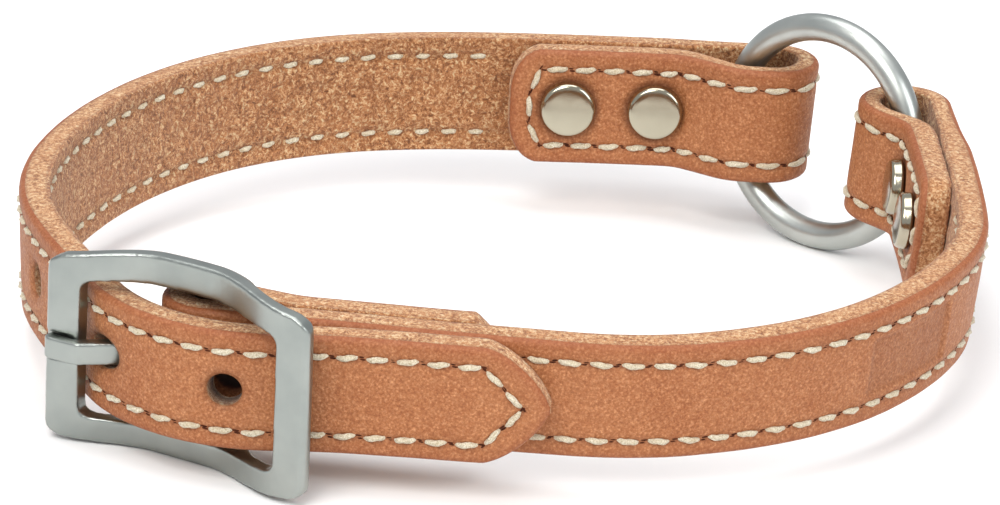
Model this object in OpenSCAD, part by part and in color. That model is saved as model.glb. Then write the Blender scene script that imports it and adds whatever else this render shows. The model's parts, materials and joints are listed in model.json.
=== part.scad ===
// Ring collar of harness leather: two straps joined by an O-ring, closed with a centre-bar buckle.
// The collar is modelled fastened, standing on its lower edge, with the buckle at the front left.

/* [Strap] */
// Width of both straps
strap_w = 19; // [17:0.5:21]
// Thickness of the leather
strap_t = 4.8; // [4:0.1:5]
// Thickness of the thinned leather where a strap folds round the ring
fold_t = 3.6; // [3:0.1:4]
// Outward lean of the straps away from the buckle, in degrees
strap_lean = 6; // [0:1:8]
// How far the straps ride up at the buckle
buckle_lift = 1.2; // [0:0.1:2]
// Length of the pointed tip
tip_len = 10; // [7:0.5:14]
// Diameter of the adjusting holes
hole_d = 5.2; // [4.6:0.1:6]
// Distance between the adjusting holes
hole_pitch = 25.4; // [20:0.1:28]
// Number of adjusting holes
hole_count = 3; // [2:1:4]

/* [Ring] */
// Inside diameter of the ring
ring_id = 30; // [29:0.5:31]
// Diameter of the ring's wire
ring_wire = 4.5; // [4:0.1:4.6]

/* [Buckle] */
// Length of the frame, over both end bars
frame_l = 46.6; // [45:0.1:48]
// Height of the frame at its ends
frame_h = 29; // [28:0.5:31]
// Extra height of each side rail at its middle
frame_bulge = 1.2; // [0.5:0.1:2]
// Thickness of the frame, front to back
frame_t = 2.8; // [2.6:0.1:3.4]
// Width of the end bars
bar_w = 5.6; // [5:0.1:6.2]
// Width of the side rails
rail_w = 4; // [3.5:0.1:4.5]
// How far the rails bow back to the centre bar
frame_bow = 5; // [4:0.1:5.5]
// Diameter of the centre bar
pin_d = 3.6; // [3.2:0.1:3.8]
// Height of the tongue
tongue_h = 3.6; // [3:0.1:4]
// Thickness of the tongue
tongue_t = 2.3; // [1.8:0.1:2.4]

/* [Rivets] */
// Diameter of the rivet caps
cap_d = 9.2; // [7:0.1:10]
// Height of the rivet caps
cap_h = 2.1; // [1.2:0.1:2.4]
// Diameter of the rivet posts
post_d = 3; // [2:0.1:3.4]
// Distance between the two rivets of a loop
rivet_gap = 14.3; // [12:0.1:15]
// Distance from the tab's end to the first rivet
rivet_first = 9.4; // [8:0.1:10]

/* [Stitching] */
// Distance from the strap's edge to the stitches
stitch_margin = 3.1; // [2.5:0.1:4]
// Stitch pitch
stitch_pitch = 4.6; // [4:0.1:6]
// Visible length of one stitch
stitch_len = 3.4; // [2.5:0.1:4]
// Thickness of the thread
thread_d = 0.9; // [0.6:0.05:1]

/* [Hidden] */
$fn = 64;

leather = [0.80, 0.53, 0.36];
thread = [0.93, 0.88, 0.78];
nickel = [0.70, 0.72, 0.72];
steel = [0.45, 0.43, 0.41];

// ---- Plan of the straps -------------------------------------------------------------------
// A path is a list of [length, turn] steps in plan, at mid height and mid thickness.
// A turn in degrees is to the left when positive.
ply_gap = 0.15;
ply_pitch = strap_t + ply_gap;
tab_len = 25;
tab_bend = 3;
s_len = 5.3;

function arc_r(len, turn) = len / (turn * PI / 180);

// Steps of a ring loop: tab, swing away from the outer ply, round the ring, back to the outer ply.
// side is 1 when the fold turns left; spread is the distance between the plies at the fold.
function loop_steps(side, spread, swing, level) =
    let (r = arc_r(s_len, swing),
         run = (spread - ply_pitch - 2 * r * (1 - cos(swing))) / sin(swing),
         advance = 2 * r * sin(swing) + run * cos(swing))
    [[tab_len, -side * tab_bend],
     [s_len, -side * swing],
     [run, 0],
     [s_len, side * swing],
     [level, 0],
     [PI * spread / 2, side * 180],
     [advance + level, 0],
     [tab_len + tab_bend * PI / 180 * ply_pitch, side * tab_bend]];

// Tip strap: from its tab in the left loop, round the back and the left side, through the buckle
// and on to the tip.
tip_start = [0.5, 41.25, 3];
tip_steps = concat(loop_steps(1, 10.9, 34, 3),
    [[5, 1], [17, 9], [18.2, 17], [15.6, 15], [16, 13], [19.7, 14], [21.1, 17], [18.5, 18],
     [11.4, 6], [16, 2], [32.4, 68], [5.4, 0], [6, -6], [12, 0], [8, 3], [10.5, 0]]);

// Buckle strap: from its tab in the right loop, down the right side, along the front, round the
// centre bar and back on the inside.
pin_fold_r = pin_d / 2 + 0.2 + strap_t / 2;
buckle_start = [67.5, -12.3, 93];
buckle_steps = concat(loop_steps(-1, 11.4, 42, 0),
    [[10, -3], [15.3, -20], [20.6, -17], [24.6, -25], [32.3, -28], [14, 0], [10, -7], [31.4, 0],
     [pin_fold_r * 196 * PI / 180, -196], [10.3, 0], [5, 16], [14.5, 0], [9.5, 7], [4, 0]]);

function step_from(q, d, f = 1) =
    let (len = d[0] * f, turn = d[1] * f, h = q[2])
    abs(turn) < 1e-6 ? [q[0] + len * cos(h), q[1] + len * sin(h), h]
    : let (r = arc_r(len, turn))
      [q[0] + r * (sin(h + turn) - sin(h)), q[1] - r * (cos(h + turn) - cos(h)), h + turn];

function corners(q, steps, i = 0) =
    i == len(steps) ? [q] : concat([q], corners(step_from(q, steps[i]), steps, i + 1));

function sum_to(steps, n, i = 0) = i >= n ? 0 : steps[i][0] + sum_to(steps, n, i + 1);

// A strap is [steps, corner poses, lengths to the corners, grain side].
function make_strap(start, steps, grain) =
    [steps, corners(start, steps), [for (i = [0:len(steps)]) sum_to(steps, i)], grain];

tip = make_strap(tip_start, tip_steps, -1);
buckle = make_strap(buckle_start, buckle_steps, 1);
tip_end = tip[2][len(tip_steps)];
buckle_end = buckle[2][len(buckle_steps)];

function step_at(strap, s) = max([for (i = [0:len(strap[0]) - 1]) if (strap[2][i] <= s + 1e-9) i]);

// Plan pose [x, y, heading] at length s
function pose(strap, s) =
    let (i = step_at(strap, s))
    step_from(strap[1][i], strap[0][i], (s - strap[2][i]) / strap[0][i][0]);

function smooth(a, b, v) = let (f = min(1, max(0, (v - a) / (b - a)))) f * f * (3 - 2 * f);
function unit(v) = v / norm(v);

// Lean and lift of the leather depend only on the place in plan, so that plies stay parallel.
loop_mid = [-1, -16];
pin_xy = let (q = buckle[1][16]) [q[0] + pin_fold_r * sin(q[2]), q[1] - pin_fold_r * cos(q[2])];
function off_buckle(p, near, far) = smooth(near, far, norm([p[0] - pin_xy[0], p[1] - pin_xy[1]]));
function upward(p) =
    let (f = strap_lean * off_buckle(p, 20, 90),
         out = unit([p[0] - loop_mid[0], p[1] - loop_mid[1]]))
    [out[0] * sin(f), out[1] * sin(f), cos(f)];
function mid_z(p) = strap_w / 2 + buckle_lift * (1 - off_buckle(p, 30, 75));

// Frame of the strap at length s: [centre, tangent, grain normal, up along the face]
function frame_at(strap, s) =
    let (q = pose(strap, s),
         v = upward(q),
         n = strap[3] * [-sin(q[2]), cos(q[2]), 0],
         g = unit(n - v * (n * v)))
    [[q[0], q[1], mid_z(q)], [cos(q[2]), sin(q[2]), 0], g, v];

// ---- Sections -----------------------------------------------------------------------------
// Thickness: thinned round the ring, full elsewhere
function thick(s) = strap_t - (strap_t - fold_t) * smooth(tab_len, tab_len + 11, s)
                                * (1 - smooth(tab_len + 42, tab_len + 54, s));

tab_round = 4.5;
corner_cut = 3;
function oval_end(u) = u >= tab_round ? 1 : sqrt(max(0.02, 1 - pow(1 - u / tab_round, 2)));
function point_end(u) = u >= tip_len ? 1 : pow(max(0.02, 1 - pow(1 - u / tip_len, 1.45)), 1 / 1.45);
function cut_end(u) = u >= corner_cut ? 1 : 1 - 2 * (corner_cut - u) / strap_w;

function tip_half(s) = strap_w / 2 * oval_end(s) * point_end(tip_end - s);
function buckle_half(s) = strap_w / 2 * oval_end(s) * cut_end(buckle_end - s);

// Outline of the cross-section, with its long edges eased
edge = 0.7;
function section(hw, t) =
    let (a = t / 2, e = min(edge, hw / 2))
    [[a, hw - e], [a - e, hw], [-a + e, hw], [-a, hw - e],
     [-a, -hw + e], [-a + e, -hw], [a - e, -hw], [a, -hw + e]];

function ring_of(strap, s, hw, t) =
    let (f = frame_at(strap, s))
    [for (p = section(hw, t)) f[0] + f[2] * p[0] + f[3] * p[1]];

// Lengths at which the sweep has a section: close together in the folds and near the ends
function stations(strap, s0, s1) =
    let (fine = [for (u = [0:0.5:3]) u * u * 10 / 9],
         inner = [for (i = [0:len(strap[0]) - 1])
                    let (d = strap[0][i], n = max(1, ceil(d[0] / 5), ceil(abs(d[1]) / 7)))
                    for (j = [0:n - 1]) strap[2][i] + d[0] * j / n])
    concat([for (u = fine) s0 + u],
           [for (s = inner) if (s > s0 + 10.5 && s < s1 - 10.5) s],
           [for (i = [len(fine) - 1:-1:0]) s1 - fine[i]]);

module sweep(rings) {
    n = len(rings[0]);
    m = len(rings);
    flip = dihedral(rings) > 0;
    sides = [for (i = [0:m - 2], j = [0:n - 1])
                [i * n + j, i * n + (j + 1) % n, (i + 1) * n + (j + 1) % n, (i + 1) * n + j]];
    caps = [[for (j = [n - 1:-1:0]) j], [for (j = [0:n - 1]) (m - 1) * n + j]];
    faces = concat(sides, caps);
    polyhedron([for (r = rings, p = r) p],
               flip ? [for (f = faces) [for (k = [len(f) - 1:-1:0]) f[k]]] : faces,
               convexity = 12);
}

// Positive when a section runs round the way of travel, so that its faces must be turned over
function dihedral(rings) =
    let (a = rings[0][2] - rings[0][0], b = rings[0][4] - rings[0][0], d = rings[1][0] - rings[0][0])
    cross(a, b) * d;

// Puts children at a strap's station: X along the strap, Y out of the grain face, Z up the face
module at_station(strap, s) {
    f = frame_at(strap, s);
    t = unit(cross(f[2], f[3]));
    multmatrix([[t[0], f[2][0], f[3][0], f[0][0]],
                [t[1], f[2][1], f[3][1], f[0][1]],
                [t[2], f[2][2], f[3][2], f[0][2]],
                [0, 0, 0, 1]])
        children();
}

// A rod along the grain normal of the station, from y0 to y1
module rod(y0, y1, d) {
    translate([0, y0, 0]) rotate([-90, 0, 0]) cylinder(d = d, h = y1 - y0);
}

// ---- Where the collar stands --------------------------------------------------------------
// The collar rests on the buckle's lower rail and on the ring, which hang below the straps.
rest_pitch = 1.2;
rest_roll = -1.1;
drop = 7.49;
// Puts the middle of the collar's footprint at the origin
shift = [-0.25, 20.54];
module standing() {
    translate([shift[0], shift[1], drop]) rotate([rest_pitch, rest_roll, 0]) children();
}

// ---- Straps -------------------------------------------------------------------------------
rivet_s = [rivet_first, rivet_first + rivet_gap];

module rivet_holes(strap) {
    for (s = rivet_s) at_station(strap, s) rod(-12, 6, post_d);
}

// Frame of the buckle in plan: the middle of the end bars, and the direction between them
left_bar = [-66.35, -68.95];
right_bar = [-28.8, -90.2];
bar_dir = unit(right_bar - left_bar);
bar_mid = (left_bar + right_bar) / 2;
bar_angle = atan2(bar_dir[1], bar_dir[0]);
buckle_z = strap_w / 2 + buckle_lift;

// Lengths along the tip strap of the adjusting holes; the tongue is in the second one
hole_s = [for (i = [0:hole_count - 1]) tip[2][18] + 0.2 + hole_pitch * (1 - i)];

// The tongue's hole is pulled out of round, along the tongue
module tongue_hole() {
    d = knee - pin_local;
    in_buckle()
        translate([pin_local[0], pin_local[1], 0]) rotate([0, 90, atan2(d[1], d[0])])
            cylinder(d = hole_d + 0.8, h = norm(d) + 2);
}

module tip_strap() {
    color(leather)
    difference() {
        sweep([for (s = stations(tip, 0, tip_end)) ring_of(tip, s, tip_half(s), thick(s))]);
        rivet_holes(tip);
        tongue_hole();
        for (s = hole_s) at_station(tip, s) rod(-6, 6, hole_d);
    }
}

module buckle_strap() {
    color(leather)
    difference() {
        sweep([for (s = stations(buckle, 0, buckle_end))
                  ring_of(buckle, s, buckle_half(s), thick(s))]);
        rivet_holes(buckle);
        translate([pin_xy[0], pin_xy[1], buckle_z])
            cylinder(r = 8.5, h = tongue_h + 1, center = true);
    }
}

// ---- Ring ---------------------------------------------------------------------------------
ring_r = (ring_id + ring_wire) / 2;
ring_at = [51.4, 32.2, strap_w / 2 + 0.8];
ring_turn = -36.7;

module ring() {
    color(nickel)
    translate(ring_at) rotate([0, 0, ring_turn]) rotate([90 - strap_lean, 0, 0])
        rotate_extrude($fn = 96) translate([ring_r, 0]) circle(d = ring_wire, $fn = 32);
}

// ---- Buckle -------------------------------------------------------------------------------
// The frame's own axes: X along the strap, Y back towards the neck, Z up
module in_buckle() {
    translate([bar_mid[0], bar_mid[1], buckle_z]) rotate([0, 0, bar_angle]) children();
}
function to_buckle(p) =
    let (d = p - bar_mid) [d * bar_dir, d * [-bar_dir[1], bar_dir[0]]];
pin_local = to_buckle(pin_xy);
// Depth of the notch that the tongue rests in, and the bend of the tongue beside the end bar
notch = 0.9;
knee = [-frame_l / 2 + bar_w + 0.4, -frame_t / 2 + notch - tongue_t / 2 - 0.06];

function bow(x) = frame_bow * (1 - smooth(0.1 * frame_l, 0.44 * frame_l, abs(x - pin_local[0])));
function bulge(x) = frame_bulge * (1 - pow(2 * x / frame_l, 2));
// Extra depth of the rails behind, where they hold the centre bar
function web(x) = (pin_local[1] + pin_d / 2 + 1.1 - frame_bow - frame_t / 2)
                  * (1 - smooth(2.5, 14, abs(x - pin_local[0])));

// Plan of the frame: a band that bows back in the middle
module frame_plan() {
    n = 36;
    c = 0.8;
    xs = [for (i = [0:n]) -frame_l / 2 + c + (frame_l - 2 * c) * i / n];
    a = frame_t / 2;
    polygon(concat(
        [[-frame_l / 2, -a + c]],
        [for (x = xs) [x, bow(x) - a]],
        [[frame_l / 2, -a + c], [frame_l / 2, a - c]],
        [for (i = [n:-1:0]) [xs[i], bow(xs[i]) + a + web(xs[i])]],
        [[-frame_l / 2, a - c]]));
}

// Face-on outline with bowed long sides; r rounds the corners
module frame_outline(l, h, r) {
    n = 16;
    xs = [for (i = [0:n]) (l / 2 - r) * (2 * i / n - 1)];
    arc = [for (a = [15:15:75]) a];
    top = [for (x = xs) [x, h / 2 + bulge(x)]];
    right = [for (a = arc) [l / 2 - r + r * sin(a), h / 2 + bulge(l / 2) - r + r * cos(a)]];
    upper = concat([for (i = [4:-1:0]) [-right[i][0], right[i][1]]], top, right);
    polygon(concat([[-l / 2, 0]], upper, [[l / 2, 0]],
                   [for (i = [len(upper) - 1:-1:0]) [upper[i][0], -upper[i][1]]]));
}

module buckle_frame() {
    color(nickel)
    in_buckle()
    difference() {
        intersection() {
            linear_extrude(60, center = true) frame_plan();
            rotate([90, 0, 0])
                linear_extrude(60, center = true) frame_outline(frame_l, frame_h, 2.6);
        }
        rotate([90, 0, 0])
            linear_extrude(60, center = true)
                frame_outline(frame_l - 2 * bar_w, frame_h - 2 * rail_w, 1.6);
        translate([pin_local[0], pin_local[1], 0])
            cylinder(d = pin_d, h = frame_h - 1.6, center = true);
        // Notch that the tongue's tip rests in
        translate([-frame_l / 2 - 1, -frame_t / 2 - 1, -tongue_h / 2 - 0.3])
            cube([bar_w + 2, 1 + notch, tongue_h + 0.6]);
    }
}

module centre_bar() {
    color(steel)
    translate([pin_xy[0], pin_xy[1], buckle_z])
        cylinder(d = pin_d, h = frame_h - 1.7, center = true);
}

// Plan of the tongue in the buckle's axes: straight to the strap's face, then along the end bar
module tongue() {
    a = tongue_t / 2;
    y_tip = knee[1];
    x_tip = -frame_l / 2 + 0.6;
    d = unit(pin_local - knee);
    n = [-d[1], d[0]];
    color(nickel)
    in_buckle()
    difference() {
        union() {
            linear_extrude(tongue_h, center = true)
                polygon([knee + n * a, pin_local + n * a, pin_local - n * a, knee - n * a,
                         [x_tip + 0.8, y_tip - a], [x_tip, y_tip - a + 0.8], [x_tip, y_tip + a]]);
            translate([pin_local[0], pin_local[1], 0])
                cylinder(r = pin_d / 2 + 1.7, h = tongue_h, center = true);
        }
        translate([pin_local[0], pin_local[1], 0])
            cylinder(r = pin_d / 2 + 0.06, h = tongue_h + 1, center = true);
    }
}

// ---- Rivets -------------------------------------------------------------------------------
// The grain face of the tab is at +Y of its station, and the outer ply is behind it.
stack_front = strap_t / 2 + 0.08;
stack_back = -strap_t / 2 - ply_pitch - 0.08;
socket = 1;

module cap_shape(d) {
    cylinder(d1 = d, d2 = d, h = cap_h * 0.45);
    translate([0, 0, cap_h * 0.45]) cylinder(d1 = d, d2 = d * 0.78, h = cap_h * 0.55);
}

module studs(strap) {
    color(nickel)
    for (s = rivet_s) at_station(strap, s) {
        rod(stack_back - 0.2, stack_front + socket, post_d);
        translate([0, stack_back, 0]) rotate([90, 0, 0]) cap_shape(cap_d);
    }
}

module caps(strap) {
    color(nickel)
    for (s = rivet_s) at_station(strap, s)
        difference() {
            translate([0, stack_front, 0]) rotate([-90, 0, 0]) cap_shape(cap_d);
            rod(stack_front - 1, stack_front + socket, post_d);
        }
}

module left_rivet_studs() { studs(tip); }
module left_rivet_caps() { caps(tip); }
module right_rivet_studs() { studs(buckle); }
module right_rivet_caps() { caps(buckle); }

// ---- Stitching ----------------------------------------------------------------------------
// One stitch on the grain face (face = 1) or the flesh face (face = -1), v above mid height
module stitch(strap, s, face, v, slope = 0) {
    d = strap[0][step_at(strap, s)];
    hollow = max(0, face * strap[3] * d[1] * PI / 180 / d[0]) * pow(stitch_len, 2) / 8;
    at_station(strap, s)
        translate([0, face * (thick(s) / 2 + 0.1 + hollow + thread_d / 4), v]) rotate([0, slope, 0])
            cube([stitch_len, thread_d / 2, thread_d], center = true);
}

// Rows along both edges that fill s0 to s1, with the pitch evened out
module stitch_rows(strap, face, s0, s1) {
    n = round((s1 - s0) / stitch_pitch);
    for (i = [0:n - 1], side = [-1, 1])
        stitch(strap, s0 + (s1 - s0) * (i + 0.5) / n, face, side * row_v);
}

// Stitches round the oval end of a ring tab
module tab_arc(strap) {
    for (side = [-1, 0, 1])
        stitch(strap, stitch_margin + 0.9 * abs(side), 1, side * stitch_pitch, 90 - 25 * side);
}

// Height of the rows above and below mid height
row_v = strap_w / 2 - stitch_margin;
// How far the stitches run forward to their point at the tip
point_run = tip_len * 0.6;
row_start = stitch_margin + 2;
// On the flesh side the rows stop where plies lie face to face.
tip_open = tip[2][8];
buckle_open = buckle[2][8];

module tip_stitches_grain() {
    color(thread) {
        stitch_rows(tip, 1, row_start, tip_end - tip_len);
        tab_arc(tip);
        for (i = [0, 1], side = [-1, 1])
            stitch(tip, tip_end - tip_len + point_run * (2 * i + 1) / 4, 1,
                   side * row_v * (3 - 2 * i) / 4, side * atan2(row_v, point_run));
    }
}
module tip_stitches_flesh() {
    color(thread) stitch_rows(tip, -1, tip_open + 3, tip[2][18]);
}
module buckle_stitches_grain() {
    color(thread) {
        stitch_rows(buckle, 1, row_start, buckle[2][13] + tip_len - 3.4);
        stitch_rows(buckle, 1, buckle[2][18], buckle_end - row_start);
        tab_arc(buckle);
        for (v = [-1, 0, 1])
            stitch(buckle, buckle_end - stitch_margin, 1, v * stitch_pitch, 90);
    }
}
module buckle_stitches_flesh() {
    color(thread) stitch_rows(buckle, -1, buckle_open + 3, buckle[2][13]);
}

standing() tip_strap();
standing() buckle_strap();
standing() ring();
standing() buckle_frame();
standing() centre_bar();
standing() tongue();
standing() left_rivet_studs();
standing() left_rivet_caps();
standing() right_rivet_studs();
standing() right_rivet_caps();
standing() tip_stitches_grain();
standing() tip_stitches_flesh();
standing() buckle_stitches_grain();
standing() buckle_stitches_flesh();
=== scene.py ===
"""Looks of the leather ring collar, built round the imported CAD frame.

Lengths are in mm, except in the row frame that place() and stand() return, which is in metres.
"""

import json
import math

import bpy
import numpy as np
from mathutils import Matrix, Vector, noise


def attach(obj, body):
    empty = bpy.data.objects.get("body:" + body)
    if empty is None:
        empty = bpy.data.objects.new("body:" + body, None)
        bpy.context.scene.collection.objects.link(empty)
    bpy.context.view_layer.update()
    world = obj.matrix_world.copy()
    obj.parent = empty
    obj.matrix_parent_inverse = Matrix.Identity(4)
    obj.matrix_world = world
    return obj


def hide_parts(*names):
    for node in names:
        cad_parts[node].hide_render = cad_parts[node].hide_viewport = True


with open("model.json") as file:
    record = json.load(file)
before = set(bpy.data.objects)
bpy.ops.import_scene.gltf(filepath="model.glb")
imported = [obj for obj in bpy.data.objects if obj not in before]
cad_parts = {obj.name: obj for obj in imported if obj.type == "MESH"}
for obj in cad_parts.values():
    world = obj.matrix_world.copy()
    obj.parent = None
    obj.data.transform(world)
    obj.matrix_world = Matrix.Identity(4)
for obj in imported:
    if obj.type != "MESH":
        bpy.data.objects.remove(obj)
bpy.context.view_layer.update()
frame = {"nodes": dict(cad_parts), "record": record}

# ---- Camera: a long lens a little above the collar, turned slightly about its axis -------------
REST_PITCH, REST_ROLL = 1.2, -1.1
SHIFT = (-0.25, 20.54, 7.49)
CAM_ELEVATION, CAM_ROLL, CAM_DISTANCE, CAM_LENS = 22.5, 2.5, 1400.0, 316.5

STAND_R = np.array(Matrix.Rotation(math.radians(REST_ROLL), 3, "Y")
                   @ Matrix.Rotation(math.radians(REST_PITCH), 3, "X"))
STAND_T = np.array(SHIFT)


def stand(p):
    """From the straps' own axes in mm to the row frame in metres."""
    return (np.asarray(p, float) @ STAND_R.T + STAND_T) / 1000


def add_camera():
    e, roll = math.radians(CAM_ELEVATION), math.radians(CAM_ROLL)
    look, up, right = (np.array((0, math.cos(e), -math.sin(e))),
                       np.array((0, math.sin(e), math.cos(e))), np.array((1.0, 0, 0)))
    r = right * math.cos(roll) + up * math.sin(roll)
    u = up * math.cos(roll) - right * math.sin(roll)
    cam = bpy.data.objects.new("camera", bpy.data.cameras.new("camera"))
    bpy.context.scene.collection.objects.link(cam)
    cam.data.lens, cam.data.sensor_width = CAM_LENS, 36
    cam.data.clip_start, cam.data.clip_end = 0.05, 20
    axes = [STAND_R @ a for a in (r, u, -look)]
    m = Matrix.Identity(4)
    for c, a in enumerate(axes):
        for k in range(3):
            m[k][c] = a[k]
    m.translation = Vector(stand(-look * CAM_DISTANCE))
    cam.matrix_world = m
    bpy.context.scene.camera = cam


add_camera()

# ---- The straps' plan, as in the CAD ----------------------------------------------------------
STRAP_W, STRAP_T, FOLD_T, LEAN, LIFT = 19.0, 4.8, 3.6, 6.0, 1.2
TAB_LEN, TAB_BEND, S_LEN, PLY = 25.0, 3.0, 5.3, 4.95
TIP_LEN, CORNER_CUT, HALF = 10.0, 3.0, STRAP_W / 2
PIN_D, CAP_D, POST_R, POST_L = 3.6, 9.2, 1.5, 9.9
RING_ID, RING_WIRE = 30.0, 4.5
LOOP_MID = np.array((-1.0, -16.0))
RIVETS = (9.4, 23.7)


def step_from(q, d, f=1.0):
    x, y, h = q
    n, t = d[0] * f, math.radians(d[1] * f)
    if abs(t) < 1e-8:
        return (x + n * math.cos(h), y + n * math.sin(h), h)
    r = n / t
    return (x + r * (math.sin(h + t) - math.sin(h)), y - r * (math.cos(h + t) - math.cos(h)), h + t)


def loop_steps(side, spread, swing, level):
    a = math.radians(swing)
    r = S_LEN / a
    run = (spread - PLY - 2 * r * (1 - math.cos(a))) / math.sin(a)
    advance = 2 * r * math.sin(a) + run * math.cos(a)
    return [(TAB_LEN, -side * TAB_BEND), (S_LEN, -side * swing), (run, 0), (S_LEN, side * swing),
            (level, 0), (math.pi * spread / 2, side * 180), (advance + level, 0),
            (TAB_LEN + math.radians(TAB_BEND) * PLY, side * TAB_BEND)]


class Strap:
    def __init__(self, start, steps, grain):
        steps = [d for d in steps if d[0] > 0]
        self.grain, self.q, self.s = grain, [(start[0], start[1], math.radians(start[2]))], [0.0]
        for d in steps:
            self.q.append(step_from(self.q[-1], d))
            self.s.append(self.s[-1] + d[0])
        self.steps, self.end = steps, self.s[-1]

    def pose(self, s):
        i = max(k for k in range(len(self.steps)) if self.s[k] <= s + 1e-9 or k == 0)
        return step_from(self.q[i], self.steps[i], (s - self.s[i]) / self.steps[i][0])

    def tabulate(self, pin):
        """Centre, grain normal and upward direction every 0.1 mm along the strap."""
        self.at = np.arange(-1, self.end + 1, 0.1)
        rows = []
        for s in self.at:
            x, y, h = self.pose(s)
            off = math.hypot(x - pin[0], y - pin[1])
            lean = math.radians(LEAN) * smooth(20, 90, off)
            out = np.array((x, y)) - LOOP_MID
            out /= np.linalg.norm(out)
            up = np.array((out[0] * math.sin(lean), out[1] * math.sin(lean), math.cos(lean)))
            n = self.grain * np.array((-math.sin(h), math.cos(h), 0))
            g = n - up * (n @ up)
            rows.append((x, y, HALF + LIFT * (1 - smooth(30, 75, off)), *(g / np.linalg.norm(g)), *up))
        self.rows = np.array(rows)

    def place(self, s, v, w):
        """Row-frame points in metres for lengths s, heights v and offsets w out of the grain side."""
        s, v, w = np.broadcast_arrays(*(np.asarray(a, float) for a in (s, v, w)))
        t = np.stack([np.interp(s.ravel(), self.at, self.rows[:, k]) for k in range(9)], 1)
        p = t[:, :3] + t[:, 3:6] * w.reshape(-1, 1) + t[:, 6:] * v.reshape(-1, 1)
        return stand(p)

    def turn(self, s):
        """Turn per mm towards the grain side at length s."""
        i = max(k for k in range(len(self.steps)) if self.s[k] <= s + 1e-9 or k == 0)
        return self.grain * math.radians(self.steps[i][1]) / self.steps[i][0]


def smooth(a, b, v):
    f = np.clip((np.asarray(v, float) - a) / (b - a), 0, 1)
    return f * f * (3 - 2 * f)


def thick(s):
    """Thickness at length s: the leather is skived where it folds round the ring."""
    thinned = smooth(TAB_LEN, TAB_LEN + 11, s) * (1 - smooth(TAB_LEN + 42, TAB_LEN + 54, s))
    return STRAP_T - (STRAP_T - FOLD_T) * thinned


TIP_STEPS = loop_steps(1, 10.9, 34, 3) + [
    (5, 1), (17, 9), (18.2, 17), (15.6, 15), (16, 13), (19.7, 14), (21.1, 17), (18.5, 18),
    (11.4, 6), (16, 2), (32.4, 68), (5.4, 0), (6, -6), (12, 0), (8, 3), (10.5, 0)]
PIN_FOLD = PIN_D / 2 + 0.2 + STRAP_T / 2
BUCKLE_STEPS = loop_steps(-1, 11.4, 42, 1e-4) + [
    (10, -3), (15.3, -20), (20.6, -17), (24.6, -25), (32.3, -28), (14, 0), (10, -7), (31.4, 0),
    (PIN_FOLD * math.radians(196), -196), (10.3, 0), (5, 16), (14.5, 0), (9.5, 7), (4, 0)]
tip = Strap((0.5, 41.25, 3), TIP_STEPS, -1)
buckle = Strap((67.5, -12.3, 93), BUCKLE_STEPS, 1)
q_pin = buckle.q[16]
PIN = (q_pin[0] + PIN_FOLD * math.sin(q_pin[2]), q_pin[1] - PIN_FOLD * math.cos(q_pin[2]))
tip.tabulate(PIN)
buckle.tabulate(PIN)
HOLES = [tip.s[18] + 0.2 + 25.4 * (1 - i) for i in range(3)]


# ---- Outlines ---------------------------------------------------------------------------------
def tab_end(u):
    x = np.clip(1 - np.asarray(u, float) / 4.6, 0, 1)
    return (1 - 0.985 * x ** 1.5) ** (1 / 3.2)


def point_end(u):
    x = np.clip(1 - np.asarray(u, float) / TIP_LEN, 0, 1)
    return np.maximum(0.02, 1 - x ** 1.45) ** (1 / 1.45)


def cut_end(u):
    return 1 - np.clip(CORNER_CUT - np.asarray(u, float), 0, CORNER_CUT) / HALF


def tip_half(s):
    return HALF * tab_end(s) * point_end(tip.end - s)


def buckle_half(s):
    return HALF * tab_end(s) * cut_end(buckle.end - s)


# ---- Stitches: (length, height, face, slope, half length) --------------------------------------
MARGIN, PITCH, ST_LEN = 3.1, 4.6, 3.5
ROW_V, ROW_START = HALF - MARGIN, MARGIN + 2


def rows(face, s0, s1):
    n = round((s1 - s0) / PITCH)
    return [(s0 + (s1 - s0) * (i + 0.5) / n, side * ROW_V, face, 0.0) for i in range(n) for side in (-1, 1)]


def tab_arc():
    return [(MARGIN + 0.9 * abs(k), k * PITCH, 1, 90 - 25 * k) for k in (-1, 0, 1)]


run_in = TIP_LEN * 0.6
tip_st = rows(1, ROW_START, tip.end - TIP_LEN) + tab_arc() + [
    (tip.end - TIP_LEN + run_in * (2 * i + 1) / 4, side * ROW_V * (3 - 2 * i) / 4, 1,
     -side * math.degrees(math.atan2(ROW_V, run_in))) for i in (0, 1) for side in (-1, 1)]
tip_fl = rows(-1, tip.s[8] + 3, tip.s[18])
buckle_st = rows(1, ROW_START, buckle.s[13] + TIP_LEN - 3.4)
buckle_st += rows(1, buckle.s[18], buckle.end - ROW_START) + tab_arc()
buckle_st += [(buckle.end - MARGIN, k * PITCH, 1, 90) for k in (-1, 0, 1)]
buckle_fl = rows(-1, buckle.s[8] + 3, buckle.s[13])


def seg_distance(s, v, st, extend):
    """Distance of strap points from the stitches, each made longer by extend at both ends."""
    best = np.full(s.shape, 99.0)
    for (cs, cv, _, slope) in st:
        near = np.abs(s - cs) < 5
        if not near.any():
            continue
        a = math.radians(slope)
        ds, dv = s[near] - cs, v[near] - cv
        along = ds * math.cos(a) + dv * math.sin(a)
        across = -ds * math.sin(a) + dv * math.cos(a)
        d = np.hypot(np.maximum(np.abs(along) - ST_LEN / 2 - extend, 0), across)
        best[near] = np.minimum(best[near], d)
    return best


# ---- Mesh helpers -----------------------------------------------------------------------------
def new_mesh(name, verts, faces, mats, which=None):
    me = bpy.data.meshes.new(name)
    me.from_pydata([tuple(v) for v in verts], [], [tuple(int(k) for k in f) for f in faces])
    for m in mats:
        me.materials.append(m)
    if which is not None:
        me.polygons.foreach_set("material_index", np.asarray(which, np.int32))
    me.polygons.foreach_set("use_smooth", np.ones(len(me.polygons), bool))
    me.update()
    o = bpy.data.objects.new(name, me)
    bpy.context.scene.collection.objects.link(o)
    return o


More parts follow.
